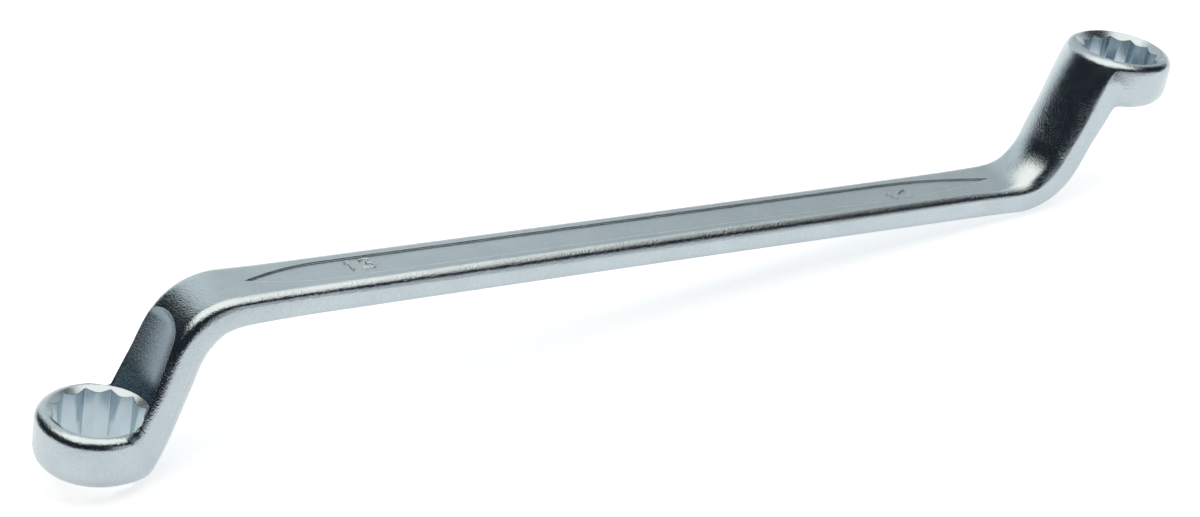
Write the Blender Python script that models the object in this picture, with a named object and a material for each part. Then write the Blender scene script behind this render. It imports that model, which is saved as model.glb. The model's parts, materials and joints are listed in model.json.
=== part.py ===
"""Double-ended offset ring spanner, 12 x 13 mm: one drop forging with two broached twelve-point sockets.

Sizes are in metres, written with MM, and +Z is up. The spanner is modelled in its own frame: the shank lies
along X, the 13 mm ring is at -X and below the shank, the 12 mm ring at +X and above it. Both ends follow one
recipe, and the 13 mm end is that recipe turned half way round the Y axis. An empty then tips the tool into
the attitude in which it comes to rest on a table.
"""
import math
from collections import namedtuple

import bmesh
import bpy
from mathutils import Matrix, Vector

MM = 0.001

# Sockets: twelve points are two hexagons, turned 30 degrees to each other, and a little off the shank's line
SOCKET_13 = 13.0 * MM
SOCKET_12 = 12.0 * MM
SOCKET_PLAY = 0.12 * MM
SOCKET_TURN_13 = math.radians(2.5)
SOCKET_TURN_12 = math.radians(6.0)
LEAD_IN_13 = 0.5 * MM
LEAD_IN_12 = 1.0 * MM
LEAD_IN_ANGLE = math.radians(40.0)

# Rings: steel outside the socket's points, height along the ring's axis, rounding of the rim
RING_WALL_13 = 2.15 * MM
RING_WALL_12 = 2.35 * MM
RING_HEIGHT_13 = 9.25 * MM
RING_HEIGHT_12 = 8.8 * MM
RIM_RADIUS = 3.0 * MM

# Place of the rings: between their axes, above or below the shank, and their dip towards the free end
RING_SPACING = 188.8 * MM
RING_OFFSET = 21.5 * MM
RING_TILT = math.radians(3.0)

# Necks: angle to the shank, distance from ring axis to neck axis, section at the ring and at the bend
NECK_ANGLE = math.radians(67.7)
NECK_REACH = 5.3 * MM
NECK_THICKNESS = 7.8 * MM
BEND_THICKNESS = 5.7 * MM
NECK_WIDTH_13 = 15.0 * MM
NECK_WIDTH_12 = 14.3 * MM
NECK_EDGE_RADIUS = 3.0 * MM
RING_BLEND = 3.0 * MM

# Pocket in each neck's inner face, from the inner lead-in: how far its deepest line and its radius open upwards
POCKET_LEAN = math.radians(9.8)
POCKET_OPENING = math.radians(23.0)

# Shank section, and how far from the bend it starts to widen into the neck
SHANK_WIDTH = 11.6 * MM
SHANK_THICKNESS = 5.1 * MM
SHANK_EDGE_RADIUS = 2.1 * MM
SHANK_FLARE = 10.0 * MM

# Radii of the side outline: in and round each bend, over the ring's crown, in the crotch under the ring
BEND_INNER_RADIUS = 10.6 * MM
BEND_OUTER_RADIUS = 11.8 * MM
CROWN_RADIUS = 2.6 * MM
CROTCH_RADIUS = 2.7 * MM

# Sunk panels on both flat faces of the shank: tip of each pointed end from the middle, and its taper
PANEL_WIDTH = 5.9 * MM
PANEL_DEPTH = 0.35 * MM
PANEL_TIP_13 = 71.5 * MM
PANEL_TIP_12 = 70.5 * MM
PANEL_TAPER_13 = 14.0 * MM
PANEL_TAPER_12 = 22.0 * MM

# Facets
SHANK_STEPS = 8
BEND_STEPS = 7
NECK_STEPS = 5
CORNER_STEPS = 6
RING_STEPS = 5
EDGE_STEPS = 4
TURN_STEPS = 18
CUTTER_STEPS = 48
TAPER_STEPS = 10
CUT_CLEAR = 2.0 * MM

End = namedtuple("End", "socket turn lead_in wall height neck_width panel_tip panel_taper")
END_13 = End(SOCKET_13, SOCKET_TURN_13, LEAD_IN_13, RING_WALL_13, RING_HEIGHT_13,
             NECK_WIDTH_13, PANEL_TIP_13, PANEL_TAPER_13)
END_12 = End(SOCKET_12, SOCKET_TURN_12, LEAD_IN_12, RING_WALL_12, RING_HEIGHT_12,
             NECK_WIDTH_12, PANEL_TIP_12, PANEL_TAPER_12)

# The ring frame of an end that points along +X and rises along +Z, in the XZ plane
RING_CENTRE = Vector((RING_SPACING / 2, RING_OFFSET))
RING_OUT = Vector((math.cos(RING_TILT), -math.sin(RING_TILT)))
RING_UP = Vector((math.sin(RING_TILT), math.cos(RING_TILT)))
HALF_TURN = Matrix.Rotation(math.pi, 4, "Y")


def socket_point_radius(end):
    """Radius of the socket's outer points."""
    return (end.socket + SOCKET_PLAY) / 2 / math.cos(math.pi / 6)


def ring_radius(end):
    return socket_point_radius(end) + end.wall


def smooth_step(t):
    t = min(max(t, 0.0), 1.0)
    return t * t * (3 - 2 * t)


def smooth_max(a, b, blend):
    """The larger of two values, with a fillet where they are within blend of each other."""
    overlap = max(blend - abs(a - b), 0.0) / blend
    return max(a, b) + overlap * overlap * blend / 4


def crossing(point, direction, other_point, other_direction):
    """Where two lines of the XZ plane cross."""
    across = direction.x * other_direction.y - direction.y * other_direction.x
    step = other_point - point
    return point + direction * ((step.x * other_direction.y - step.y * other_direction.x) / across)


def rail(corners, radii):
    """A side outline from the shank's middle to the ring's axis, as points on its straights and its two fillets."""
    counts = ((SHANK_STEPS, BEND_STEPS), (NECK_STEPS, CORNER_STEPS))
    points = []
    start = corners[0]
    for i, radius in enumerate(radii):
        before, corner, after = corners[i:i + 3]
        back = (before - corner).normalized()
        ahead = (after - corner).normalized()
        half_angle = back.angle(ahead) / 2
        room = 0.9 * min((start - corner).length, (after - corner).length)
        radius = min(radius, room * math.tan(half_angle))
        arc_start = corner + back * radius / math.tan(half_angle)
        centre = corner + (back + ahead).normalized() * radius / math.sin(half_angle)
        straight_steps, arc_steps = counts[i]
        points += [start.lerp(arc_start, k / straight_steps) for k in range(straight_steps)]
        spoke = arc_start - centre
        sweep = (math.pi - 2 * half_angle) * (1 if back.x * ahead.y - back.y * ahead.x < 0 else -1)
        points += [centre + Matrix.Rotation(sweep * k / arc_steps, 2) @ spoke for k in range(arc_steps)]
        start = corner + ahead * radius / math.tan(half_angle)
    return points + [start.lerp(corners[3], k / RING_STEPS) for k in range(RING_STEPS + 1)]


def side_rails(end):
    """The outer and the inner side outline of an end: over the neck's outer face, and under its inner face."""
    neck_along = Vector((math.cos(NECK_ANGLE), math.sin(NECK_ANGLE)))
    neck_out = Vector((-math.sin(NECK_ANGLE), math.cos(NECK_ANGLE)))
    neck_top = RING_CENTRE - RING_OUT * NECK_REACH
    neck_foot = neck_top - neck_along * neck_top.y / neck_along.y
    rails = []
    for side, radii in ((1, (BEND_INNER_RADIUS, CROWN_RADIUS)), (-1, (BEND_OUTER_RADIUS, CROTCH_RADIUS))):
        shank = Vector((0.0, side * SHANK_THICKNESS / 2))
        foot = neck_foot + neck_out * side * BEND_THICKNESS / 2
        face = neck_top + neck_out * side * NECK_THICKNESS / 2 - foot
        ring = RING_CENTRE + RING_UP * side * end.height / 2
        bend = crossing(shank, Vector((1.0, 0.0)), foot, face)
        corner = crossing(ring, RING_OUT, foot, face)
        rails.append(rail((shank, bend, corner, ring), radii))
    return rails


def half_section(width, depth, radius):
    """Half of a rounded bar section, from the middle of its inner face round one side to its outer face."""
    arc = [math.pi / 2 * k / EDGE_STEPS for k in range(EDGE_STEPS + 1)]
    flat = width / 2 - radius
    inner = [(flat + radius * math.sin(a), radius - radius * math.cos(a)) for a in arc]
    outer = [(flat + radius * math.cos(a), depth - radius + radius * math.sin(a)) for a in arc]
    return [(0, 0), (flat / 2, 0)] + inner + [(width / 2, depth / 2)] + outer + [(flat / 2, depth), (0, depth)]


def end_stations(end):
    """Half sections of one end, from the shank's middle to the ring's axis, each a list of points with y >= 0."""
    outer, inner = side_rails(end)
    middles = [(a + b) / 2 for a, b in zip(outer, inner)]
    travel = [0.0]
    for before, after in zip(middles, middles[1:]):
        travel.append(travel[-1] + (after - before).length)
    neck_end = SHANK_STEPS + BEND_STEPS + NECK_STEPS
    flare_start = travel[SHANK_STEPS] - SHANK_FLARE
    flare_length = travel[neck_end] - flare_start
    radius = ring_radius(end)
    stations = []
    for i, (a, b) in enumerate(zip(outer, inner)):
        flare = smooth_step((travel[i] - flare_start) / flare_length)
        in_ring = smooth_step((i - neck_end) / CORNER_STEPS)
        width = SHANK_WIDTH + (end.neck_width - SHANK_WIDTH) * flare
        edge = SHANK_EDGE_RADIUS + (NECK_EDGE_RADIUS - SHANK_EDGE_RADIUS) * flare
        edge += (RIM_RADIUS - edge) * in_ring
        depth = (a - b).length
        edge = min(edge, 0.48 * depth, 0.48 * width)
        across = (a - b) / depth
        points = []
        for y, d in half_section(width, depth, edge):
            place = b + across * d
            out = (place - RING_CENTRE).dot(RING_OUT)
            barrel = math.sqrt(max(radius * radius - out * out, 0.0))
            bulge = in_ring * (smooth_max(width / 2, barrel, RING_BLEND) - width / 2)
            share = min(y / (width / 2 - edge), 1.0)
            points.append(Vector((place.x, y + bulge * share, place.y)))
        stations.append(points)
    return stations


def loft_body(bm):
    """Skins the half sections of both ends from ring to ring, and spins each ring's free half on its axis."""
    stations_12 = end_stations(END_12)
    stations_13 = [[HALF_TURN @ p for p in reversed(points)] for points in end_stations(END_13)]
    chain = stations_13[::-1] + stations_12[1:]
    loops = []
    for points in chain:
        near = [bm.verts.new(Vector((p.x, -p.y, p.z))) for p in points[-2:0:-1]]
        loops.append([bm.verts.new(p) for p in points] + near)
    for before, after in zip(loops, loops[1:]):
        for j in range(len(before)):
            k = (j + 1) % len(before)
            bm.faces.new((before[j], before[k], after[k], after[j]))
    half_count = len(chain[0])
    for loop, turn in ((loops[0], HALF_TURN), (loops[-1], Matrix.Identity(4))):
        centre = turn @ Vector((RING_CENTRE.x, 0, RING_CENTRE.y))
        axis = turn @ Vector((RING_UP.x, 0, RING_UP.y))
        rim = loop[:half_count]
        edges = [bm.edges.get(pair) for pair in zip(rim, rim[1:])]
        bmesh.ops.spin(bm, geom=edges, cent=centre, axis=axis, angle=-math.pi, steps=TURN_STEPS)
    bmesh.ops.remove_doubles(bm, verts=bm.verts, dist=0.001 * MM)
    bmesh.ops.recalc_face_normals(bm, faces=bm.faces)
    bmesh.ops.triangulate(bm, faces=bm.faces)


def mesh_object(name, bm, collection, parent):
    mesh = bpy.data.meshes.new(name)
    bm.to_mesh(mesh)
    bm.free()
    obj = bpy.data.objects.new(name, mesh)
    collection.objects.link(obj)
    obj.parent = parent
    return obj


def cone_cutter(bottom, bottom_radius, top, top_radius):
    """A closed cone or frustum about Z, turned part of a facet so that no edge of it lies on a socket edge."""
    bm = bmesh.new()
    place = Matrix.Translation((0, 0, (bottom + top) / 2))
    part_facet = Matrix.Rotation(2 * math.pi / CUTTER_STEPS / 3, 4, "Z")
    bmesh.ops.create_cone(
        bm, cap_ends=True, segments=CUTTER_STEPS, radius1=bottom_radius, radius2=top_radius, depth=top - bottom,
        matrix=place @ part_facet)
    return bm


def hexagon_cutters(end, label, collection, parent):
    """The two hexagonal prisms whose union is the twelve-point socket."""
    cutters = []
    for turn in (end.turn, end.turn + math.pi / 6):
        bm = bmesh.new()
        bmesh.ops.create_cone(
            bm, cap_ends=True, segments=6, radius1=socket_point_radius(end), radius2=socket_point_radius(end),
            depth=end.height + 2 * CUT_CLEAR, matrix=Matrix.Rotation(turn + math.pi / 2, 4, "Z"))
        cutters.append(mesh_object("cut_socket_" + label, bm, collection, parent))
    return cutters


def lead_in_radius(end):
    """Radius of the circle in which the lead-in meets the rounded rim."""
    return socket_point_radius(end) + end.lead_in


def lead_in_height(end):
    """Height of that circle above the ring's middle."""
    inset = lead_in_radius(end) - (ring_radius(end) - RIM_RADIUS)
    inset = min(max(inset, 0.0), 0.9 * RIM_RADIUS)
    return end.height / 2 - RIM_RADIUS + math.sqrt(RIM_RADIUS ** 2 - inset ** 2)


def lead_in_cutter(end, label, collection, parent):
    """The countersink into the ring's outer face, away from the shank."""
    rise = math.tan(LEAD_IN_ANGLE)
    top = end.height / 2 + CUT_CLEAR
    tip = lead_in_height(end) - lead_in_radius(end) * rise
    bm = cone_cutter(tip, 0, top, (top - tip) / rise)
    return mesh_object("cut_lead_in_" + label, bm, collection, parent)


def pocket_cutter(end, label, collection, parent):
    """The countersink into the ring's inner face, carried on into the neck as a leaning cone: the neck's pocket."""
    radius = lead_in_radius(end)
    rim = -lead_in_height(end)
    foot = rim - RING_OFFSET
    foot_radius = radius + RING_OFFSET * math.tan(POCKET_OPENING)
    bm = cone_cutter(foot, foot_radius, rim, radius)
    lean = foot_radius - radius - RING_OFFSET * math.tan(POCKET_LEAN)
    bmesh.ops.translate(bm, vec=(lean, 0, 0), verts=[v for v in bm.verts if v.co.z < (foot + rim) / 2])
    mouth = max(bm.faces, key=lambda face: face.calc_center_median().z)
    tip = bmesh.ops.poke(bm, faces=[mouth])["verts"][0]
    tip.co.z += radius * math.tan(LEAD_IN_ANGLE)
    return mesh_object("cut_pocket_" + label, bm, collection, parent)


def panel_cutter(side, collection, parent):
    """The sunk panel of one shank face: straight sides, and parabolic tips of their own length at each end."""
    half = PANEL_WIDTH / 2
    shares = [k / TAPER_STEPS for k in range(TAPER_STEPS)]
    outline = []
    for end, way in ((END_12, 1), (END_13, -1)):
        shoulder = end.panel_tip - end.panel_taper
        edge = [(way * (shoulder + end.panel_taper * s), half * (1 - s * s)) for s in shares]
        tip = [(way * end.panel_tip, 0)]
        outline += [(x, -way * y) for x, y in edge] + tip + [(x, way * y) for x, y in reversed(edge)]
    bm = bmesh.new()
    floor = SHANK_THICKNESS / 2 - PANEL_DEPTH
    face = bm.faces.new([bm.verts.new((x, y, floor)) for x, y in outline])
    lifted = bmesh.ops.extrude_face_region(bm, geom=[face])["geom"]
    lift = Vector((0, 0, PANEL_DEPTH + CUT_CLEAR))
    bmesh.ops.translate(bm, vec=lift, verts=[v for v in lifted if isinstance(v, bmesh.types.BMVert)])
    bmesh.ops.recalc_face_normals(bm, faces=bm.faces)
    if side < 0:
        bmesh.ops.transform(bm, matrix=Matrix.Diagonal((1, 1, -1, 1)), verts=bm.verts)
        bmesh.ops.reverse_faces(bm, faces=bm.faces)
    return mesh_object("cut_panel", bm, collection, parent)


def ring_placement(turn):
    """Matrix from a ring's own frame, with its axis along Z, to the spanner's frame."""
    centre = Matrix.Translation((RING_CENTRE.x, 0, RING_CENTRE.y))
    return turn @ centre @ Matrix.Rotation(RING_TILT, 4, "Y")


def add_cutters(collection, parent):
    for end, label, turn in ((END_13, "13", HALF_TURN), (END_12, "12", Matrix.Identity(4))):
        ring_cutters = hexagon_cutters(end, label, collection, parent)
        ring_cutters.append(lead_in_cutter(end, label, collection, parent))
        ring_cutters.append(pocket_cutter(end, label, collection, parent))
        for cutter in ring_cutters:
            cutter.matrix_local = ring_placement(turn)
    for side in (1, -1):
        panel_cutter(side, collection, parent)
    for cutter in collection.objects:
        cutter.hide_render = True
        cutter.display_type = "WIRE"


def lower_hull(points):
    """The lower chain of the convex hull of points (x, z), from left to right."""
    chain = []
    for x, z in sorted(points):
        while len(chain) > 1:
            (x0, z0), (x1, z1) = chain[-2:]
            if (x1 - x0) * (z - z0) - (z1 - z0) * (x - x0) > 0:
                break
            chain.pop()
        chain.append((x, z))
    return chain


def resting_attitude(mesh):
    """Matrix that rests the spanner on z = 0: on its 13 mm ring and under its far bend, centred on the origin."""
    chain = lower_hull([(v.co.x, v.co.z) for v in mesh.vertices])
    (x0, z0), (x1, z1) = next(pair for pair in zip(chain, chain[1:]) if pair[0][0] <= 0 < pair[1][0])
    tip = Matrix.Rotation(math.atan2(z1 - z0, x1 - x0), 4, "Y")
    places = [tip @ v.co for v in mesh.vertices]
    middle = (min(p.x for p in places) + max(p.x for p in places)) / 2
    return Matrix.Translation((-middle, 0, -min(p.z for p in places))) @ tip


def satin_chrome():
    material = bpy.data.materials.new("satin_chrome")
    material.use_nodes = True
    shader = material.node_tree.nodes["Principled BSDF"]
    shader.inputs["Base Color"].default_value = (0.62, 0.66, 0.69, 1.0)
    shader.inputs["Metallic"].default_value = 1.0
    shader.inputs["Roughness"].default_value = 0.3
    return material


def build():
    for obj in list(bpy.data.objects):
        bpy.data.objects.remove(obj, do_unlink=True)
    parts = bpy.data.collections.new("offset_ring_spanner")
    tools = bpy.data.collections.new("cutters")
    for collection in (parts, tools):
        bpy.context.scene.collection.children.link(collection)
    rest = bpy.data.objects.new("resting_attitude", None)
    parts.objects.link(rest)

    bm = bmesh.new()
    loft_body(bm)
    forging = mesh_object("spanner_forging", bm, parts, rest)
    forging.data.materials.append(satin_chrome())
    rest.matrix_world = resting_attitude(forging.data)
    add_cutters(tools, rest)
    cut = forging.modifiers.new("sockets_and_panels", "BOOLEAN")
    cut.operation = "DIFFERENCE"
    cut.operand_type = "COLLECTION"
    cut.collection = tools
    forging.data.shade_smooth()
    forging.data.set_sharp_from_angle(angle=math.radians(35))


build()
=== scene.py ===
"""Looks of the double-ended offset ring spanner, 12 x 13 mm: satin chrome on one forging, in a studio.

The forging is modelled in its own frame, with the shank along X, the 13 mm ring at -X and below the
shank and the 12 mm ring at +X and above it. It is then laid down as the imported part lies.
"""
import json
import math
from collections import namedtuple

import bmesh
import bpy
from mathutils import Matrix, Vector


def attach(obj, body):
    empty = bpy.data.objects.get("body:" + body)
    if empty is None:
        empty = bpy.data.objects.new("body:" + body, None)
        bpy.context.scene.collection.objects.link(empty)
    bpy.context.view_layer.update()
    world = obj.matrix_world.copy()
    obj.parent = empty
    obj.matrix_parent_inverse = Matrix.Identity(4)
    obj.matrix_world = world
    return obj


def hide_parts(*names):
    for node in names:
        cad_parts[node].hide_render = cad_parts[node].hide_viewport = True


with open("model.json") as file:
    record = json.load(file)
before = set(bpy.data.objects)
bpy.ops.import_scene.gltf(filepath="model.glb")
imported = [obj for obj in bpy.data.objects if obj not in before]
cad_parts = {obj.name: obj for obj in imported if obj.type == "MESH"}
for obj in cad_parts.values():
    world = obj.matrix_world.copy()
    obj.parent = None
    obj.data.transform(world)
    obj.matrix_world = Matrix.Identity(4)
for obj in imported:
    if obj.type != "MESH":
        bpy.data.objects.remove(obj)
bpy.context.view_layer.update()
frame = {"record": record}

MM = 0.001

# Sockets: two hexagons, one turned against the other
SOCKET_POINTS = 12
POINT_STEP = math.pi / SOCKET_POINTS
SOCKET_13 = 13.0 * MM
SOCKET_12 = 12.0 * MM
SOCKET_PLAY = 0.12 * MM
SOCKET_TURN_13 = math.radians(2.5)
SOCKET_TURN_12 = math.radians(6.0)
POINT_ROUNDING = 0.55 * MM
RIDGE_ROUNDING = 0.6 * MM
LEAD_IN_13 = 0.5 * MM
LEAD_IN_UNDER_13 = -0.5 * MM
LEAD_IN_12 = 1.0 * MM
LEAD_IN_ANGLE = math.radians(32.0)
RIDGE_TOLERANCE = 1.01

# Rings
RING_WALL_13 = 2.15 * MM
RING_WALL_12 = 2.35 * MM
RING_HEIGHT_13 = 9.25 * MM
RING_HEIGHT_12 = 8.8 * MM
TOP_RIM_13 = 1.7 * MM
UNDER_RIM_13 = 3.2 * MM
TOP_RIM_12 = 1.8 * MM
UNDER_RIM_12 = 3.2 * MM
RING_SPACING = 188.8 * MM
RING_OFFSET = 21.5 * MM
RING_TILT = math.radians(3.0)

# Necks, and the pocket in each neck's inner face, whose opening is its growth in radius over its rise
NECK_ANGLE = math.radians(67.7)
NECK_REACH = 6.0 * MM
NECK_THICKNESS = 9.4 * MM
BEND_THICKNESS = 6.4 * MM
NECK_WIDTH_13 = 15.0 * MM
NECK_WIDTH_12 = 14.3 * MM
NECK_INNER_RADIUS = 3.0 * MM
NECK_OUTER_RADIUS = 3.6 * MM
EDGE_SHARE = 0.96
NECK_CROWN = 12.0 * MM
CROWN_RUN = 7.0 * MM
ROUNDING_RUN = 8.0 * MM
SHOULDER_RADIUS = 10.7 * MM
SHOULDER_EDGE = 1.9 * MM
SHOULDER_BLEND = 0.5 * MM
SHOULDER_FADE = 6.0 * MM
RING_BLEND = 3.0 * MM
POCKET_LEAN = math.radians(10.2)
POCKET_REACH = 19.0 * MM
POCKET_OPENING = 0.08
POCKET_STRAIGHT = 13.6 * MM
POCKET_END_RADIUS = 3.0 * MM
POCKET_STEPS = 36

# Shank
SHANK_WIDTH = 11.6 * MM
SHANK_THICKNESS = 5.1 * MM
SHANK_EDGE_RADIUS = 2.1 * MM
SHANK_FLARE = 10.0 * MM

# Side outline
BEND_INNER_RADIUS = 10.6 * MM
BEND_OUTER_RADIUS = 11.8 * MM
CROWN_RADIUS = 2.6 * MM
CROTCH_RADIUS = 2.7 * MM

# Sunk panels of the shank, and the raised figures on the upper one
PANEL_WIDTH = 5.9 * MM
PANEL_DEPTH = 0.3 * MM
PANEL_TIP_13 = 71.5 * MM
PANEL_TIP_12 = 70.5 * MM
PANEL_TAPER_13 = 14.0 * MM
PANEL_TAPER_12 = 22.0 * MM

FIGURE_SIZE = 2.8 * MM
FIGURE_STROKE = 0.66 * MM
FIGURE_HEIGHT = 0.24 * MM
FIGURE_PITCH = 2.8 * MM
FIGURE_13_X = -53.4 * MM
FIGURE_13_Y = -0.7 * MM
FIGURE_12_X = 49.0 * MM
FIGURE_12_Y = -2.4 * MM

# Strokes of the figures, in shares of their height, from the foot of each
FIGURE_STROKES = {
    "1": [[(-0.22, 0.78), (0.0, 1.0)], [(0.0, 1.0), (0.0, 0.0)]],
    "2": [[(-0.3, 0.75), (-0.3, 1.0), (0.0, 1.0), (0.3, 1.0), (0.3, 0.75), (0.3, 0.6),
           (0.1, 0.35), (-0.3, 0.0)],
          [(-0.3, 0.0), (0.32, 0.0)]],
    "3": [[(-0.3, 0.85), (-0.2, 1.0), (0.0, 1.0), (0.3, 1.0), (0.3, 0.75), (0.3, 0.53), (-0.02, 0.53)],
          [(-0.02, 0.53), (0.34, 0.53), (0.34, 0.26), (0.34, 0.0), (0.0, 0.0), (-0.22, 0.0),
           (-0.32, 0.16)]],
}

# Facets
SHANK_STEPS = 30
BEND_STEPS = 24
NECK_STEPS = 16
CORNER_STEPS = 22
RING_STEPS = 12
EDGE_STEPS = 10
FLAT_STEPS = 4
TURN_STEPS = 60
CUTTER_STEPS = 128
ROUNDING_STEPS = 5
TAPER_STEPS = 24
STROKE_STEPS = 6
STROKE_ORDER = 3
STROKE_ROUND_STEPS = 4
SMOOTH_ANGLE = math.radians(32.0)
CUT_CLEAR = 2.0 * MM
MERGE = 0.002 * MM

# Camera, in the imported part's frame
CAMERA_PLACE = Vector((-179.82, -333.82, 240.18)) * MM
CAMERA_TURN = [math.radians(angle) for angle in (58.7033, 0.7903, -27.6752)]
CAMERA_LENS = 79.14
CAMERA_SENSOR = 36.0
CAMERA_CLIP = 0.01

# Finishes
CHROME_DULL = (0.43, 0.495, 0.53, 1.0)
CHROME_BRIGHT = (0.505, 0.575, 0.612, 1.0)
# Tone of the chrome's edges: partly wear, partly a painted highlight
CHROME_WEAR_AND_HIGHLIGHT = (0.72, 0.76, 0.78, 1.0)
CRISP_EDGE = 0.12 * MM
SOFT_EDGE = 0.6 * MM
SATIN_ROUGHNESS = 0.18
SATIN_GRAIN = 0.3 * MM
SATIN_DEPTH = 0.055 * MM
# The pocket's tones are darker than the chrome: partly the forging's own duller face, partly painted shade
# of the recess
FORGED_DULL_AND_SHADED = (0.175, 0.225, 0.265, 1.0)
FORGED_BRIGHT_AND_SHADED = (0.245, 0.305, 0.355, 1.0)
# Tone of the pocket's edges: partly wear, partly a painted highlight
FORGED_WEAR_AND_HIGHLIGHT = (0.27, 0.33, 0.38, 1.0)
FORGED_ROUGHNESS = 0.25
FORGED_GRAIN = 0.3 * MM
FORGED_DEPTH = 0.035 * MM
BROACHED_DULL = (0.44, 0.525, 0.58, 1.0)
BROACHED_BRIGHT = (0.51, 0.595, 0.645, 1.0)
BROACHED_ROUGHNESS = 0.22
BROACHED_GRAIN = 0.2 * MM
BROACHED_DEPTH = 0.008 * MM
BROACH_STREAK = 12.0
TURNED_ROUGHNESS = 0.25
TURNED_GRAIN = 0.2 * MM
TURNED_DEPTH = 0.01 * MM
GLOSS_SPREAD = 0.05

# Patterns of the finishes: a cloud and a grain of tone, and lighter edges where the rounded and true normals
# part, partly wear and partly a painted highlight
CLOUD_SCALE = 150.0
CLOUD_DETAIL = 3.0
CLOUD_DULL = 0.35
CLOUD_BRIGHT = 0.65
GRAIN_SHARE = 0.6
GRAIN_DETAIL = 2.0
GRAIN_ROUGHNESS = 0.6
GRAIN_LOW = 0.25
GRAIN_HIGH = 0.75
EDGE_SAMPLES = 6
WEAR_AND_HIGHLIGHT_START = 0.98
WEAR_AND_HIGHLIGHT_FULL = 0.85

# Studio: the room is dark, and the lamps are panels that stand on the floor or hang over it
FLOOR_SIZE = 8.0
FLOOR_GAP = 0.3 * MM
FLOOR_GLOW = 0.66
FLOOR_COLOUR = (0.70, 0.72, 0.74, 1.0)
FLOOR_ROUGHNESS = 0.9
GLOW_COLOUR = (1.0, 1.0, 1.0, 1.0)
FRONT_WAY = math.radians(-110.0)
FRONT_START = 0.07
FRONT_FULL = 0.17
WALL_COLOUR = (0.018, 0.025, 0.032, 1.0)

UPRIGHT = math.radians(90.0)
SOFTBOX_TURN = (0.0, 0.0, math.radians(-8.0))
SOFTBOX_COLOUR = (1.0, 0.94, 0.86)
CARD_TURN = (UPRIGHT, 0.0, 0.0)
CARD_COLOUR = (1.0, 1.0, 1.0)
BACKDROP_TURN = (UPRIGHT, 0.0, math.radians(152.0))
BACKDROP_HEIGHT = 0.7
BACKDROP_COLOUR = (0.95, 1.0, 0.99)

Panel = namedtuple("Panel", "name place turn width height radiance colour")
STUDIO_PANELS = (
    Panel("softbox", (0.0, 0.04, 1.0), SOFTBOX_TURN, 1.44, 1.17, 1.75, SOFTBOX_COLOUR),
    Panel("card", (0.23, -0.24, 0.055), CARD_TURN, 0.54, 0.11, 0.75, CARD_COLOUR),
    Panel("backdrop_left", (-0.121, 0.603, 0.35), BACKDROP_TURN,
          0.38, BACKDROP_HEIGHT, 0.95, BACKDROP_COLOUR),
    Panel("backdrop_middle", (0.157, 0.456, 0.35), BACKDROP_TURN,
          0.25, BACKDROP_HEIGHT, 0.80, BACKDROP_COLOUR),
    Panel("backdrop_right", (0.497, 0.275, 0.35), BACKDROP_TURN,
          0.52, BACKDROP_HEIGHT, 0.64, BACKDROP_COLOUR),
)

# Each end of the spanner, with the mouth and the rim on the ring's outer side and on the pocket's side
End = namedtuple("End", (
    "socket turn mouth lead_in wall height outer_rim inner_rim neck_width panel_tip panel_taper"))
END_13 = End(
    SOCKET_13, SOCKET_TURN_13, LEAD_IN_UNDER_13, LEAD_IN_13, RING_WALL_13, RING_HEIGHT_13,
    UNDER_RIM_13, TOP_RIM_13, NECK_WIDTH_13, PANEL_TIP_13, PANEL_TAPER_13)
END_12 = End(
    SOCKET_12, SOCKET_TURN_12, LEAD_IN_12, LEAD_IN_12, RING_WALL_12, RING_HEIGHT_12,
    TOP_RIM_12, UNDER_RIM_12, NECK_WIDTH_12, PANEL_TIP_12, PANEL_TAPER_12)

# The ring frame of an end that points along +X and rises along +Z, in the XZ plane
RING_CENTRE = Vector((RING_SPACING / 2, RING_OFFSET))
RING_OUT = Vector((math.cos(RING_TILT), -math.sin(RING_TILT)))
RING_UP = Vector((math.sin(RING_TILT), math.cos(RING_TILT)))
HALF_TURN = Matrix.Rotation(math.pi, 4, "Y")
NO_TURN = Matrix.Identity(4)


def socket_point_radius(end):
    return (end.socket + SOCKET_PLAY) / 2 / math.cos(2 * POINT_STEP)


def socket_ridge_radius(end):
    return (end.socket + SOCKET_PLAY) / 2 / math.cos(POINT_STEP)


def ring_radius(end):
    return socket_point_radius(end) + end.wall


def lead_in_circle(end, lead_in, rim):
    """Radius of a lead-in's mouth, and its height over the ring's middle, on the ring's rounded rim."""
    radius = socket_point_radius(end) + lead_in
    inset = max(radius - (ring_radius(end) - rim), 0.0)
    return radius, end.height / 2 - rim + math.sqrt(rim ** 2 - inset ** 2)


def smooth_step(t):
    t = min(max(t, 0.0), 1.0)
    return t * t * (3 - 2 * t)


def smooth_max(a, b, blend):
    overlap = max(blend - abs(a - b), 0.0) / blend
    return max(a, b) + overlap * overlap * blend / 4


def crossing(point, direction, other_point, other_direction):
    across = direction.x * other_direction.y - direction.y * other_direction.x
    step = other_point - point
    return point + direction * ((step.x * other_direction.y - step.y * other_direction.x) / across)


def rail(corners, radii):
    """A side outline from the shank's middle to the ring's axis: points on its straights and fillets."""
    counts = ((SHANK_STEPS, BEND_STEPS), (NECK_STEPS, CORNER_STEPS))
    points = []
    start = corners[0]
    for i, radius in enumerate(radii):
        before, corner, after = corners[i:i + 3]
        back = (before - corner).normalized()
        ahead = (after - corner).normalized()
        half_angle = back.angle(ahead) / 2
        arc_start = corner + back * radius / math.tan(half_angle)
        centre = corner + (back + ahead).normalized() * radius / math.sin(half_angle)
        straight_steps, arc_steps = counts[i]
        points += [start.lerp(arc_start, k / straight_steps) for k in range(straight_steps)]
        spoke = arc_start - centre
        way = 1 if back.x * ahead.y - back.y * ahead.x < 0 else -1
        sweep = (math.pi - 2 * half_angle) * way
        turns = [Matrix.Rotation(sweep * k / arc_steps, 2) for k in range(arc_steps)]
        points += [centre + turn @ spoke for turn in turns]
        start = corner + ahead * radius / math.tan(half_angle)
    return points + [start.lerp(corners[3], k / RING_STEPS) for k in range(RING_STEPS + 1)]


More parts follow.
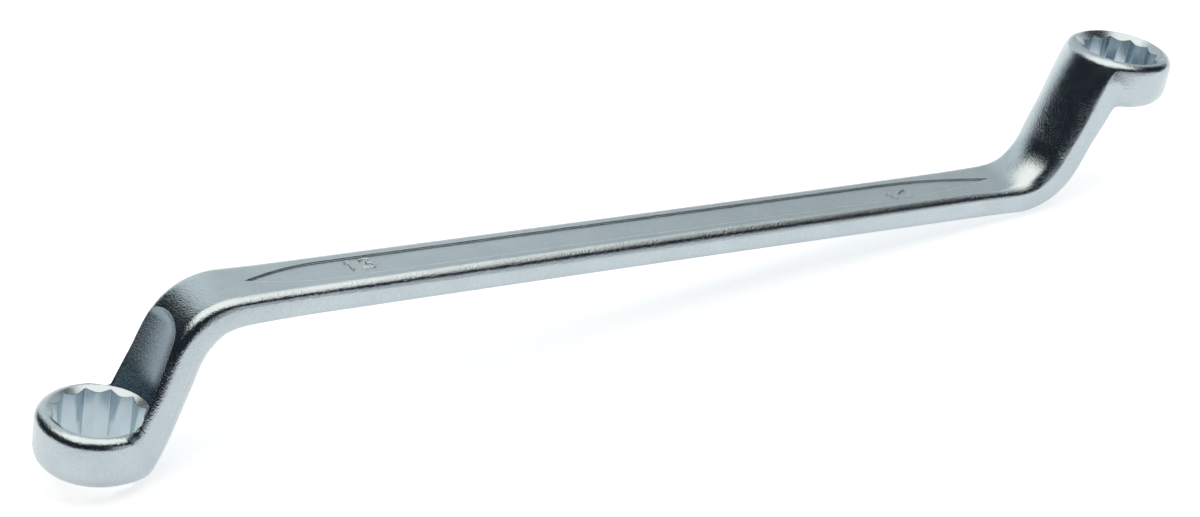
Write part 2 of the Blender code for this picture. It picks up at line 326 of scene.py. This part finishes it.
def side_rails(end):
    """The two side outlines of an end: over the neck's outer face, and under its inner face."""
    neck_along = Vector((math.cos(NECK_ANGLE), math.sin(NECK_ANGLE)))
    neck_out = Vector((-math.sin(NECK_ANGLE), math.cos(NECK_ANGLE)))
    neck_top = RING_CENTRE - RING_OUT * NECK_REACH
    neck_foot = neck_top - neck_along * neck_top.y / neck_along.y
    outer_radii = (BEND_INNER_RADIUS, CROWN_RADIUS)
    inner_radii = (BEND_OUTER_RADIUS, CROTCH_RADIUS)
    rails = []
    for side, radii in ((1, outer_radii), (-1, inner_radii)):
        shank = Vector((0.0, side * SHANK_THICKNESS / 2))
        foot = neck_foot + neck_out * side * BEND_THICKNESS / 2
        face = neck_top + neck_out * side * NECK_THICKNESS / 2 - foot
        ring = RING_CENTRE + RING_UP * side * end.height / 2
        bend = crossing(shank, Vector((1.0, 0.0)), foot, face)
        corner = crossing(ring, RING_OUT, foot, face)
        rails.append(rail((shank, bend, corner, ring), radii))
    return rails


def half_section(width, depth, inner_radius, outer_radius, crown):
    """Half a bar section, from the middle of its inner face round one side to its crowned outer face."""
    arc = [math.pi / 2 * k / EDGE_STEPS for k in range(EDGE_STEPS + 1)]
    shares = [k / FLAT_STEPS for k in range(FLAT_STEPS)]
    flat = width / 2 - inner_radius
    points = [(flat * share, 0.0) for share in shares]
    base = inner_radius
    points += [(flat + inner_radius * math.sin(a), base - inner_radius * math.cos(a)) for a in arc]
    points.append((width / 2, (inner_radius + depth - outer_radius) / 2))
    flat = width / 2 - outer_radius
    base = depth - outer_radius
    points += [(flat + outer_radius * math.cos(a), base + outer_radius * math.sin(a)) for a in arc]
    points += [(flat * share, depth) for share in reversed(shares)]
    return [(y, d - crown * y * y * smooth_step(2 * d / depth - 1)) for y, d in points]


def round_shoulder(end, point):
    """Draws a point of the neck's back in to the shoulder, a cone about the ring's axis with a round top."""
    place = Vector((point.x, point.z)) - RING_CENTRE
    towards_neck = -place.dot(RING_OUT)
    height = place.dot(RING_UP)
    radius = math.hypot(towards_neck, point.y)
    lean = math.pi / 2 - NECK_ANGLE - RING_TILT
    facing = Vector((math.cos(lean), math.sin(lean)))
    edge_height = end.height / 2 - SHOULDER_EDGE
    edge_radius = SHOULDER_RADIUS - (SHOULDER_EDGE + facing.y * edge_height) / facing.x
    arm = Vector((radius - edge_radius, height - edge_height))
    if towards_neck < 0 or arm.length == 0:
        return point
    if arm.x * facing.y > arm.y * facing.x:
        outward = facing
    elif arm.x > 0:
        outward = arm.normalized()
    else:
        return point
    excess = smooth_max(arm.dot(outward) - SHOULDER_EDGE, 0.0, SHOULDER_BLEND)
    excess *= smooth_step((height + 2 * SHOULDER_FADE) / SHOULDER_FADE)
    new_radius = radius - excess * outward.x
    shift = RING_OUT * towards_neck * (1 - new_radius / radius) - RING_UP * excess * outward.y
    return Vector((point.x + shift.x, point.y * new_radius / radius, point.z + shift.y))


def end_stations(end):
    """Half sections of one end, from the shank's middle to the ring's axis, each of points with y >= 0."""
    outer, inner = side_rails(end)
    middles = [(a + b) / 2 for a, b in zip(outer, inner)]
    travel = [0.0]
    for before, after in zip(middles, middles[1:]):
        travel.append(travel[-1] + (after - before).length)
    neck_end = SHANK_STEPS + BEND_STEPS + NECK_STEPS
    flare_start = travel[SHANK_STEPS] - SHANK_FLARE
    flare_length = travel[neck_end] - flare_start
    crown_start = travel[SHANK_STEPS]
    rounding_start = travel[SHANK_STEPS + BEND_STEPS]
    radius = ring_radius(end)
    stations = []
    for i, (a, b) in enumerate(zip(outer, inner)):
        flare = smooth_step((travel[i] - flare_start) / flare_length)
        in_ring = smooth_step((i - neck_end) / CORNER_STEPS)
        rounding = smooth_step((travel[i] - rounding_start) / ROUNDING_RUN)
        crowning = smooth_step((travel[i] - crown_start) / CROWN_RUN)
        crown = crowning * (1 - in_ring) / (2 * NECK_CROWN)
        width = SHANK_WIDTH + (end.neck_width - SHANK_WIDTH) * flare
        depth = (a - b).length
        edges = []
        for neck_radius, rim in (
                (NECK_INNER_RADIUS, end.inner_rim), (NECK_OUTER_RADIUS, end.outer_rim)):
            edge = SHANK_EDGE_RADIUS + (neck_radius - SHANK_EDGE_RADIUS) * rounding
            edges.append(edge + (rim - edge) * in_ring)
        # The two edge radii together stay within the depth of the section
        squeeze = min(1.0, EDGE_SHARE * depth / sum(edges))
        inner_edge, outer_edge = (edge * squeeze for edge in edges)
        across = (a - b) / depth
        points = []
        for y, d in half_section(width, depth, inner_edge, outer_edge, crown):
            place = b + across * d
            out = (place - RING_CENTRE).dot(RING_OUT)
            barrel = math.sqrt(max(radius * radius - out * out, 0.0))
            bulge = in_ring * (smooth_max(width / 2, barrel, RING_BLEND) - width / 2)
            edge = inner_edge if d < depth / 2 else outer_edge
            share = min(y / (width / 2 - edge), 1.0)
            points.append(round_shoulder(end, Vector((place.x, y + bulge * share, place.y))))
        stations.append(points)
    return stations


def whole_section(half):
    """A closed section from its half on the far side, mirrored to the near side."""
    return half + [Vector((p.x, -p.y, p.z)) for p in half[-2:0:-1]]


def start_editing(obj):
    bpy.ops.object.select_all(action="DESELECT")
    bpy.context.view_layer.objects.active = obj
    obj.select_set(True)
    bpy.ops.object.mode_set(mode="EDIT")
    bpy.ops.mesh.select_mode(type="VERT")
    bpy.ops.mesh.select_all(action="DESELECT")


def stop_editing():
    bpy.ops.object.mode_set(mode="OBJECT")
    bpy.ops.object.select_all(action="DESELECT")


def new_piece(name):
    """Names the object that an operator has just added."""
    obj = bpy.context.object
    obj.name = name
    return obj


def apply_place(obj):
    bpy.ops.object.select_all(action="DESELECT")
    bpy.context.view_layer.objects.active = obj
    obj.select_set(True)
    bpy.ops.object.transform_apply(location=True, rotation=True, scale=True)
    bpy.ops.object.select_all(action="DESELECT")


def lay_section(obj, section):
    """Moves the selected loop of vertices on to a section, each to the place that it carries."""
    bm = bmesh.from_edit_mesh(obj.data)
    place = bm.verts.layers.int["place"]
    for vert in bm.verts:
        if vert.select:
            vert.co = section[vert[place]]
    bmesh.update_edit_mesh(obj.data)


def select_near(obj, points):
    """Selects the vertices that lie on the given points, and the edges between them."""
    bm = bmesh.from_edit_mesh(obj.data)
    places = {tuple(round(c / MERGE) for c in p) for p in points}
    for vert in bm.verts:
        vert.select = tuple(round(c / MERGE) for c in vert.co) in places
    bm.select_flush(True)
    bmesh.update_edit_mesh(obj.data)


def loft_forging():
    """One loop of vertices, extruded from section to section, with each ring's free half spun."""
    half_12 = end_stations(END_12)
    half_13 = [[HALF_TURN @ p for p in reversed(points)] for points in end_stations(END_13)]
    halves = half_13[::-1] + half_12[1:]
    sections = [whole_section(half) for half in halves]
    half_count = len(halves[0])

    bpy.ops.object.select_all(action="DESELECT")
    bpy.ops.mesh.primitive_circle_add(vertices=len(sections[0]))
    forging = new_piece("spanner_body")
    order = forging.data.attributes.new("place", "INT", "POINT")
    for i, item in enumerate(order.data):
        item.value = i
    start_editing(forging)
    bpy.ops.mesh.select_all(action="SELECT")
    lay_section(forging, sections[0])
    for section in sections[1:]:
        bpy.ops.mesh.extrude_region_move()
        lay_section(forging, section)

    centre = Vector((RING_CENTRE.x, 0, RING_CENTRE.y))
    axis = Vector((RING_UP.x, 0, RING_UP.y))
    for section, turn in ((sections[0], HALF_TURN), (sections[-1], NO_TURN)):
        bpy.ops.mesh.select_all(action="DESELECT")
        select_near(forging, section[:half_count])
        bpy.ops.mesh.spin(steps=TURN_STEPS, angle=math.pi, center=turn @ centre, axis=turn @ axis)
    bpy.ops.mesh.select_all(action="SELECT")
    bpy.ops.mesh.remove_doubles(threshold=MERGE)
    bpy.ops.mesh.normals_make_consistent(inside=False)
    bpy.ops.mesh.quads_convert_to_tris(quad_method="BEAUTY", ngon_method="BEAUTY")
    stop_editing()
    return forging


def ring_placement(turn):
    """Matrix from a ring's own frame, with its axis along Z, to the spanner's frame."""
    centre = Matrix.Translation((RING_CENTRE.x, 0, RING_CENTRE.y))
    return turn @ centre @ Matrix.Rotation(RING_TILT, 4, "Y")


def socket_cutter(end):
    """The broach: a prism of twelve points, with its points and ridges rounded."""
    bpy.ops.object.select_all(action="DESELECT")
    bpy.ops.mesh.primitive_cylinder_add(
        vertices=2 * SOCKET_POINTS, radius=socket_point_radius(end), depth=end.height + 2 * CUT_CLEAR)
    cutter = new_piece("broach")
    ridge_share = socket_ridge_radius(end) / socket_point_radius(end)
    start_editing(cutter)
    bm = bmesh.from_edit_mesh(cutter.data)
    for vert in bm.verts:
        step = round(math.atan2(vert.co.y, vert.co.x) / POINT_STEP)
        if step % 2:
            vert.co.x *= ridge_share
            vert.co.y *= ridge_share
    for rounding, ridges in ((POINT_ROUNDING, False), (RIDGE_ROUNDING, True)):
        bm = bmesh.from_edit_mesh(cutter.data)
        for edge in bm.edges:
            a, b = (v.co for v in edge.verts)
            upright = abs(a.z - b.z) > end.height
            radius = math.hypot(a.x, a.y)
            on_ridge = radius < socket_ridge_radius(end) * RIDGE_TOLERANCE
            edge.select = upright and on_ridge == ridges
        bm.select_flush_mode()
        bmesh.update_edit_mesh(cutter.data)
        bpy.ops.mesh.select_mode(type="EDGE")
        bpy.ops.mesh.bevel(offset=rounding, segments=ROUNDING_STEPS, affect="EDGES")
        bpy.ops.mesh.select_all(action="DESELECT")
    stop_editing()
    cutter.rotation_euler.z = end.turn
    apply_place(cutter)
    return cutter


def lead_in_cutter(end):
    """The countersink of the socket's outer mouth."""
    radius, height = lead_in_circle(end, end.mouth, end.outer_rim)
    rise = math.tan(LEAD_IN_ANGLE)
    top = end.height / 2 + CUT_CLEAR
    tip = height - radius * rise
    bpy.ops.object.select_all(action="DESELECT")
    bpy.ops.mesh.primitive_cone_add(
        vertices=CUTTER_STEPS, radius1=0, radius2=(top - tip) / rise, depth=top - tip,
        location=(0, 0, (top + tip) / 2), rotation=(0, 0, math.pi / CUTTER_STEPS))
    cutter = new_piece("countersink")
    apply_place(cutter)
    return cutter


def pocket_cutter(end):
    """The inner countersink, carried on into the neck as a leaning scoop that draws in to a blunt end."""
    radius, height = lead_in_circle(end, end.lead_in, end.inner_rim)
    depth = radius * math.tan(LEAD_IN_ANGLE)
    bpy.ops.object.select_all(action="DESELECT")
    bpy.ops.mesh.primitive_cone_add(
        vertices=CUTTER_STEPS, radius1=0, radius2=radius, depth=depth,
        location=(0, 0, height - depth / 2), rotation=(0, 0, math.pi / CUTTER_STEPS))
    cutter = new_piece("pocket")
    apply_place(cutter)
    start_editing(cutter)
    bpy.ops.mesh.select_mode(type="FACE")
    bm = bmesh.from_edit_mesh(cutter.data)
    for face in bm.faces:
        face.select = face.calc_center_median().z > height - MERGE
    bmesh.update_edit_mesh(cutter.data)
    old_middle, old_radius = 0.0, radius
    for k in range(1, POCKET_STEPS + 1):
        rise = POCKET_REACH * k / POCKET_STEPS
        drawn_in = max(rise - POCKET_STRAIGHT, 0.0) ** 2 / (2 * POCKET_END_RADIUS)
        new_radius = radius + POCKET_OPENING * rise - drawn_in
        new_middle = (POCKET_OPENING - math.tan(POCKET_LEAN)) * rise
        step = Vector((new_middle - old_middle, 0, POCKET_REACH / POCKET_STEPS))
        bpy.ops.mesh.extrude_region_move(TRANSFORM_OT_translate={"value": step})
        growth = new_radius / old_radius
        middle = (new_middle, 0, height + rise)
        bpy.ops.transform.resize(value=(growth, growth, 1), center_override=middle)
        old_middle, old_radius = new_middle, new_radius
    stop_editing()
    for face in cutter.data.polygons:
        face.material_index = 1 if face.center.z > height else 0
    cutter.rotation_euler.x = math.pi
    apply_place(cutter)
    return cutter


def panel_cutter(side):
    """The sunk panel of one shank face: straight sides, and a parabolic tip at each end."""
    half = PANEL_WIDTH / 2
    shares = [k / TAPER_STEPS for k in range(TAPER_STEPS)]
    outline = []
    for end, way in ((END_12, 1), (END_13, -1)):
        shoulder = end.panel_tip - end.panel_taper
        edge = [(way * (shoulder + end.panel_taper * s), half * (1 - s * s)) for s in shares]
        tip = [(way * end.panel_tip, 0)]
        outline += [(x, -way * y) for x, y in edge] + tip + [(x, way * y) for x, y in reversed(edge)]
    floor = SHANK_THICKNESS / 2 - PANEL_DEPTH
    bpy.ops.object.select_all(action="DESELECT")
    bpy.ops.mesh.primitive_circle_add(vertices=len(outline), fill_type="NGON")
    cutter = new_piece("panel")
    start_editing(cutter)
    bm = bmesh.from_edit_mesh(cutter.data)
    bm.verts.ensure_lookup_table()
    for vert, (x, y) in zip(bm.verts, outline):
        vert.co = (x, y, floor)
    bmesh.update_edit_mesh(cutter.data)
    bpy.ops.mesh.select_all(action="SELECT")
    rise = (0, 0, PANEL_DEPTH + CUT_CLEAR)
    bpy.ops.mesh.extrude_region_move(TRANSFORM_OT_translate={"value": rise})
    bpy.ops.mesh.select_all(action="SELECT")
    bpy.ops.mesh.normals_make_consistent(inside=False)
    stop_editing()
    if side < 0:
        cutter.rotation_euler.x = math.pi
        apply_place(cutter)
    return cutter


def raised_figure(figure, x, y):
    """A figure of the size as round ridges on the floor of the upper panel, one for each stroke."""
    bpy.ops.object.select_all(action="DESELECT")
    bpy.ops.curve.primitive_bezier_curve_add()
    ridge = new_piece("figure")
    line = ridge.data
    line.splines.clear()
    line.dimensions = "3D"
    line.bevel_depth = FIGURE_STROKE / 2
    line.bevel_resolution = STROKE_ROUND_STEPS
    line.use_fill_caps = True
    for stroke in FIGURE_STROKES[figure]:
        spline = line.splines.new("NURBS")
        spline.points.add(len(stroke) - 1)
        for point, (across, up) in zip(spline.points, stroke):
            point.co = (across * FIGURE_SIZE, up * FIGURE_SIZE, 0, 1)
        spline.use_endpoint_u = True
        spline.order_u = min(STROKE_ORDER, len(stroke))
        spline.resolution_u = STROKE_STEPS
    ridge.select_set(True)
    bpy.context.view_layer.objects.active = ridge
    bpy.ops.object.convert(target="MESH")
    ridge.scale.z = FIGURE_HEIGHT / (FIGURE_STROKE / 2)
    ridge.location = (x, y, SHANK_THICKNESS / 2 - PANEL_DEPTH)
    apply_place(ridge)
    start_editing(ridge)
    bpy.ops.mesh.select_all(action="SELECT")
    bpy.ops.mesh.remove_doubles(threshold=MERGE)
    bpy.ops.mesh.normals_make_consistent(inside=False)
    stop_editing()
    return ridge


def cut(body, cutters):
    """Takes the cutters out of the body, in one Boolean."""
    tools = bpy.data.collections.new("cutters")
    bpy.context.scene.collection.children.link(tools)
    for cutter in cutters:
        for holder in list(cutter.users_collection):
            holder.objects.unlink(cutter)
        tools.objects.link(cutter)
    boolean = body.modifiers.new("cuts", "BOOLEAN")
    boolean.operation = "DIFFERENCE"
    boolean.solver = "EXACT"
    boolean.operand_type = "COLLECTION"
    boolean.collection = tools
    boolean.material_mode = "TRANSFER"
    bpy.context.view_layer.objects.active = body
    body.select_set(True)
    bpy.ops.object.modifier_apply(modifier=boolean.name)
    for cutter in cutters:
        bpy.data.objects.remove(cutter, do_unlink=True)
    bpy.data.collections.remove(tools)
    bpy.ops.object.select_all(action="DESELECT")


def resting_place():
    """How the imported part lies, from the record's two mounts in the middle of the shank's panels."""
    mounts = {mount["name"]: mount for mount in frame["record"]["mounts"]}
    top = mounts["shank_top"]
    underside = mounts["shank_underside"]
    up = Vector(top["axis"])
    middle = (Vector(top["pos_m"]) + Vector(underside["pos_m"])) / 2
    return Matrix.Translation(middle) @ Matrix.Rotation(math.atan2(up.x, up.z), 4, "Y")


def add_node(tree, kind, **settings):
    """A node of a material, with its own settings and the values of its inputs by name."""
    node = tree.nodes.new(kind)
    for name, value in settings.items():
        if name in node.inputs:
            node.inputs[name].default_value = value
        else:
            setattr(node, name, value)
    return node


def chrome_finish(name, tones, roughness, grain_size, grain_depth, edge=CRISP_EDGE, streak=1.0):
    """Dull chrome: grain in height, gloss and tone, and lighter edges, partly wear and partly a painted
    highlight. A streak draws the grain out.
    """
    dull, bright, wear_and_highlight_tone = tones
    material = bpy.data.materials.new(name)
    material.use_nodes = True
    tree = material.node_tree
    link = tree.links.new
    shader = tree.nodes["Principled BSDF"]
    shader.inputs["Metallic"].default_value = 1.0
    place = add_node(tree, "ShaderNodeTexCoord")

    clouds = add_node(tree, "ShaderNodeTexNoise", Scale=CLOUD_SCALE, Detail=CLOUD_DETAIL)
    tone = add_node(tree, "ShaderNodeValToRGB")
    tone.color_ramp.elements[0].color = dull
    tone.color_ramp.elements[0].position = CLOUD_DULL
    tone.color_ramp.elements[1].color = bright
    tone.color_ramp.elements[1].position = CLOUD_BRIGHT
    speckle = add_node(tree, "ShaderNodeMix", data_type="FLOAT", Factor=GRAIN_SHARE)
    link(place.outputs["Object"], clouds.inputs["Vector"])
    link(clouds.outputs["Fac"], speckle.inputs["A"])
    link(speckle.outputs["Result"], tone.inputs["Fac"])

    # Edges are lightened where the rounded normal parts from the true one: partly wear, partly a painted
    # highlight
    rounded = add_node(tree, "ShaderNodeBevel", samples=EDGE_SAMPLES, Radius=edge)
    surface = add_node(tree, "ShaderNodeNewGeometry")
    agree = add_node(tree, "ShaderNodeVectorMath", operation="DOT_PRODUCT")
    wear_and_highlight_mask = add_node(tree, "ShaderNodeMapRange")
    wear_and_highlight_mask.inputs["From Min"].default_value = WEAR_AND_HIGHLIGHT_START
    wear_and_highlight_mask.inputs["From Max"].default_value = WEAR_AND_HIGHLIGHT_FULL
    wear_and_highlight_mix = add_node(tree, "ShaderNodeMix", data_type="RGBA", B=wear_and_highlight_tone)
    link(rounded.outputs["Normal"], agree.inputs[0])
    link(surface.outputs["Normal"], agree.inputs[1])
    link(agree.outputs["Value"], wear_and_highlight_mask.inputs["Value"])
    link(wear_and_highlight_mask.outputs["Result"], wear_and_highlight_mix.inputs["Factor"])
    link(tone.outputs["Color"], wear_and_highlight_mix.inputs["A"])
    link(wear_and_highlight_mix.outputs["Result"], shader.inputs["Base Color"])

    stretch = add_node(tree, "ShaderNodeMapping", Scale=(1.0, 1.0, 1.0 / streak))
    grain = add_node(
        tree, "ShaderNodeTexNoise", Scale=1 / grain_size, Detail=GRAIN_DETAIL, Roughness=GRAIN_ROUGHNESS)
    gloss = add_node(tree, "ShaderNodeMapRange")
    gloss.inputs["From Min"].default_value = GRAIN_LOW
    gloss.inputs["From Max"].default_value = GRAIN_HIGH
    gloss.inputs["To Min"].default_value = roughness - GLOSS_SPREAD
    gloss.inputs["To Max"].default_value = roughness + GLOSS_SPREAD
    link(place.outputs["Object"], stretch.inputs["Vector"])
    link(stretch.outputs["Vector"], grain.inputs["Vector"])
    link(grain.outputs["Fac"], speckle.inputs["B"])
    link(grain.outputs["Fac"], gloss.inputs["Value"])
    link(gloss.outputs["Result"], shader.inputs["Roughness"])

    relief = add_node(tree, "ShaderNodeBump", Strength=1.0, Distance=grain_depth)
    link(grain.outputs["Fac"], relief.inputs["Height"])
    link(rounded.outputs["Normal"], relief.inputs["Normal"])
    link(relief.outputs["Normal"], shader.inputs["Normal"])
    return material


def build_forging():
    """The whole spanner as one piece, in its four finishes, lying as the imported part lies."""
    satin = chrome_finish(
        "satin_chrome", (CHROME_DULL, CHROME_BRIGHT, CHROME_WEAR_AND_HIGHLIGHT),
        SATIN_ROUGHNESS, SATIN_GRAIN, SATIN_DEPTH)
    # The pocket's finish: its dark tone is partly the forging's own and partly painted shade of the recess
    forged_and_shaded = chrome_finish(
        "forged_and_shaded_chrome", (FORGED_DULL_AND_SHADED, FORGED_BRIGHT_AND_SHADED, FORGED_WEAR_AND_HIGHLIGHT),
        FORGED_ROUGHNESS, FORGED_GRAIN, FORGED_DEPTH, edge=SOFT_EDGE)
    broached = chrome_finish(
        "broached_chrome", (BROACHED_DULL, BROACHED_BRIGHT, CHROME_WEAR_AND_HIGHLIGHT),
        BROACHED_ROUGHNESS, BROACHED_GRAIN, BROACHED_DEPTH, streak=BROACH_STREAK)
    turned = chrome_finish(
        "turned_chrome", (CHROME_DULL, CHROME_BRIGHT, CHROME_WEAR_AND_HIGHLIGHT),
        TURNED_ROUGHNESS, TURNED_GRAIN, TURNED_DEPTH)
    forging = loft_forging()
    forging.data.materials.append(satin)
    cutters = []
    for end, turn in ((END_13, HALF_TURN), (END_12, NO_TURN)):
        for cutter, finishes in (
                (socket_cutter(end), [broached]), (lead_in_cutter(end), [turned]),
                (pocket_cutter(end), [turned, forged_and_shaded])):
            cutter.data.transform(ring_placement(turn))
            for finish in finishes:
                cutter.data.materials.append(finish)
            cutters.append(cutter)
    for side in (1, -1):
        cutters.append(panel_cutter(side))
        cutters[-1].data.materials.append(satin)
    cut(forging, cutters)
    figures = []
    for size, x, y in (("13", FIGURE_13_X, FIGURE_13_Y), ("12", FIGURE_12_X, FIGURE_12_Y)):
        figures += [raised_figure(figure, x + k * FIGURE_PITCH, y) for k, figure in enumerate(size)]
    for figure in figures:
        figure.data.materials.clear()
        figure.data.materials.append(satin)
        figure.select_set(True)
    forging.select_set(True)
    bpy.context.view_layer.objects.active = forging
    bpy.ops.object.join()
    forging.matrix_world = resting_place()
    apply_place(forging)
    forging.select_set(True)
    bpy.context.view_layer.objects.active = forging
    bpy.ops.object.shade_smooth_by_angle(angle=SMOOTH_ANGLE)
    bpy.ops.object.select_all(action="DESELECT")
    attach(forging, "root")
    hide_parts("spanner_forging")


def white_floor():
    """Floor paint that shows white and takes the shadow. In the metal its front fades into the dark."""
    material = bpy.data.materials.new("white_floor")
    material.use_nodes = True
    tree = material.node_tree
    link = tree.links.new
    shader = tree.nodes["Principled BSDF"]
    shader.inputs["Roughness"].default_value = FLOOR_ROUGHNESS
    shader.inputs["Specular IOR Level"].default_value = 0.0
    shader.inputs["Emission Color"].default_value = GLOW_COLOUR
    ray = add_node(tree, "ShaderNodeLightPath")
    seen = add_node(tree, "ShaderNodeMath", operation="MAXIMUM")
    seen_through = add_node(tree, "ShaderNodeMath", operation="MAXIMUM")
    glow = add_node(tree, "ShaderNodeMath", operation="MULTIPLY")
    glow.inputs[1].default_value = FLOOR_GLOW
    link(ray.outputs["Is Camera Ray"], seen.inputs[0])
    link(ray.outputs["Is Glossy Ray"], seen.inputs[1])
    link(seen.outputs["Value"], seen_through.inputs[0])
    link(ray.outputs["Is Transmission Ray"], seen_through.inputs[1])
    link(seen_through.outputs["Value"], glow.inputs[0])

    place = add_node(tree, "ShaderNodeTexCoord")
    along = add_node(tree, "ShaderNodeVectorMath", operation="DOT_PRODUCT")
    along.inputs[1].default_value = (math.cos(FRONT_WAY), math.sin(FRONT_WAY), 0)
    front = add_node(tree, "ShaderNodeMapRange", interpolation_type="SMOOTHSTEP")
    front.inputs["From Min"].default_value = FRONT_START
    front.inputs["From Max"].default_value = FRONT_FULL
    # Painted reflection: rays off the metal see the floor's front in the wall's dark colour, without glow
    dark = add_node(tree, "ShaderNodeMath", operation="MULTIPLY")
    paint = add_node(tree, "ShaderNodeMix", data_type="RGBA", A=FLOOR_COLOUR, B=WALL_COLOUR)
    glow_left = add_node(tree, "ShaderNodeMix", data_type="FLOAT", B=0.0)
    link(place.outputs["Object"], along.inputs[0])
    link(along.outputs["Value"], front.inputs["Value"])
    link(front.outputs["Result"], dark.inputs[0])
    link(ray.outputs["Is Glossy Ray"], dark.inputs[1])
    link(dark.outputs["Value"], paint.inputs["Factor"])
    link(dark.outputs["Value"], glow_left.inputs["Factor"])
    link(glow.outputs["Value"], glow_left.inputs["A"])
    link(paint.outputs["Result"], shader.inputs["Base Color"])
    link(glow_left.outputs["Result"], shader.inputs["Emission Strength"])
    return material


def lay_floor():
    bpy.ops.object.select_all(action="DESELECT")
    bpy.ops.mesh.primitive_plane_add(size=FLOOR_SIZE, location=(0, 0, -FLOOR_GAP))
    floor = new_piece("floor")
    apply_place(floor)
    floor.data.materials.append(white_floor())


def dark_room():
    world = bpy.data.worlds.new("studio")
    bpy.context.scene.world = world
    world.use_nodes = True
    world.node_tree.nodes["Background"].inputs["Color"].default_value = WALL_COLOUR


def light_panel(panel):
    """A flat lamp that looks equally bright all over, of the radiance given."""
    bpy.ops.object.light_add(type="AREA", location=panel.place, rotation=panel.turn)
    lamp = new_piece(panel.name).data
    lamp.shape = "RECTANGLE"
    lamp.size = panel.width
    lamp.size_y = panel.height
    lamp.color = panel.colour
    lamp.energy = math.pi * panel.width * panel.height * panel.radiance


def camera():
    bpy.ops.object.camera_add(location=CAMERA_PLACE, rotation=CAMERA_TURN)
    eye = bpy.context.object
    eye.data.lens = CAMERA_LENS
    eye.data.sensor_width = CAMERA_SENSOR
    eye.data.clip_start = CAMERA_CLIP
    bpy.context.scene.camera = eye


build_forging()
lay_floor()
dark_room()
for studio_panel in STUDIO_PANELS:
    light_panel(studio_panel)
camera()
bpy.context.scene.view_settings.view_transform = "Standard"
